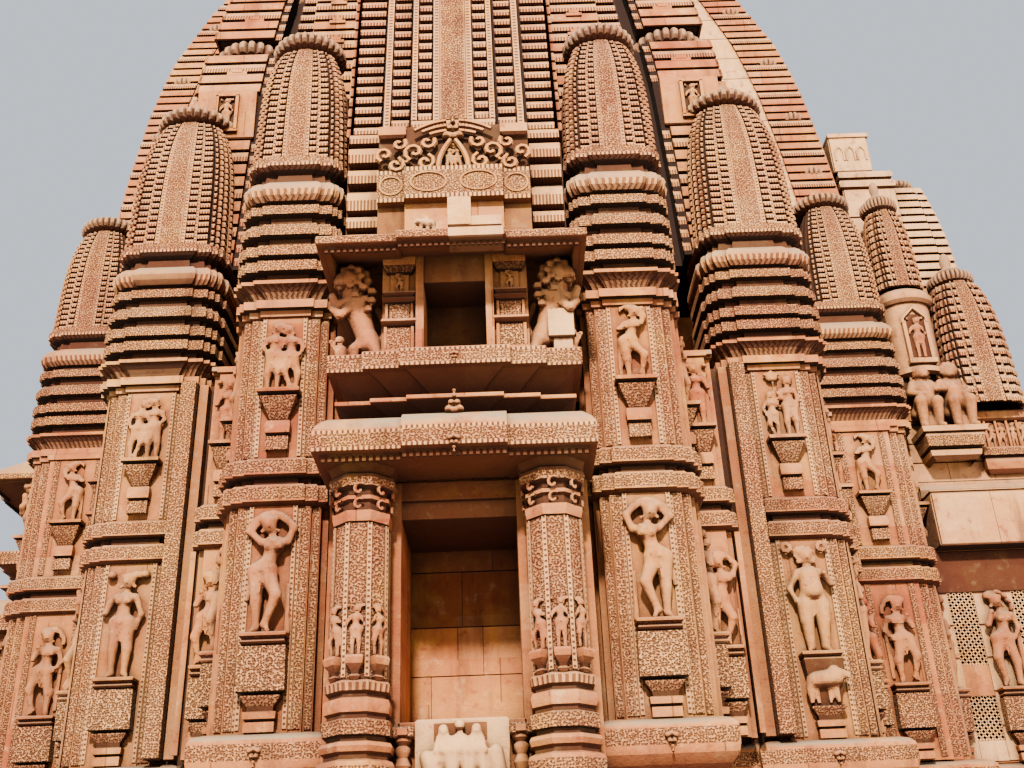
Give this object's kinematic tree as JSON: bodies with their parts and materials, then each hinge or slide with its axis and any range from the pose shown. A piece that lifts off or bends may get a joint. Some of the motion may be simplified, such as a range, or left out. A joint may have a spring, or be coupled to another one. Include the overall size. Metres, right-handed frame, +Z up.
{
  "type": "carved stone temple tower",
  "caption": "Square sandstone sanctum under a curved ribbed spire, ringed by carved piers with small spires, niche bays on three sides and a doorway porch on the fourth.",
  "frame": {"origin": "on the ground under the middle of the sanctum, at the centre of the flat face of mount base", "axes": "+Z up, +X towards the doorway on the east, -Y out of the south niche bay"},
  "size_m": [10.85, 10.02, 17.98],
  "materials": {
    "turret_stone": "rough carved sandstone",
    "pier_stone": "rough carved sandstone",
    "wall_stone": "rough carved sandstone",
    "base_stone": "rough carved sandstone",
    "spire_stone": "rough carved sandstone",
    "fronton_stone": "rough carved sandstone",
    "crown_stone": "rough carved sandstone",
    "niche_stone": "rough carved sandstone"
  },
  "bodies": {
    "root": {"base_mouldings": "base_stone", "east_half_spire": "spire_stone", "east_left_pier": "pier_stone", "east_left_turret": "turret_stone", "east_left_wall": "wall_stone", "east_right_pier": "pier_stone", "east_right_turret": "turret_stone", "east_right_wall": "wall_stone", "main_spire": "spire_stone", "north_east_corner_pier": "pier_stone", "north_east_corner_turret": "turret_stone", "north_gable": "niche_stone", "north_half_spire": "spire_stone", "north_left_pier": "pier_stone", "north_left_turret": "turret_stone", "north_niche_bay": "niche_stone", "north_right_pier": "pier_stone", "north_right_turret": "turret_stone", "north_sanctum_wall": "wall_stone", "north_upper_shrine": "niche_stone", "north_west_corner_pier": "pier_stone", "north_west_corner_turret": "turret_stone", "plinth": "base_stone", "pot_finial": "crown_stone", "ribbed_cushion_stone": "crown_stone", "south_east_corner_pier": "pier_stone", "south_east_corner_turret": "turret_stone", "south_gable": "niche_stone", "south_half_spire": "spire_stone", "south_left_pier": "pier_stone", "south_left_turret": "turret_stone", "south_niche_bay": "niche_stone", "south_right_pier": "pier_stone", "south_right_turret": "turret_stone", "south_sanctum_wall": "wall_stone", "south_upper_shrine": "niche_stone", "south_west_corner_pier": "pier_stone", "south_west_corner_turret": "turret_stone", "spire_neck": "crown_stone", "vestibule_fronton": "fronton_stone", "west_gable": "niche_stone", "west_half_spire": "spire_stone", "west_left_pier": "pier_stone", "west_left_turret": "turret_stone", "west_niche_bay": "niche_stone", "west_right_pier": "pier_stone", "west_right_turret": "turret_stone", "west_sanctum_wall": "wall_stone", "west_upper_shrine": "niche_stone"}
  },
  "joints": []
}
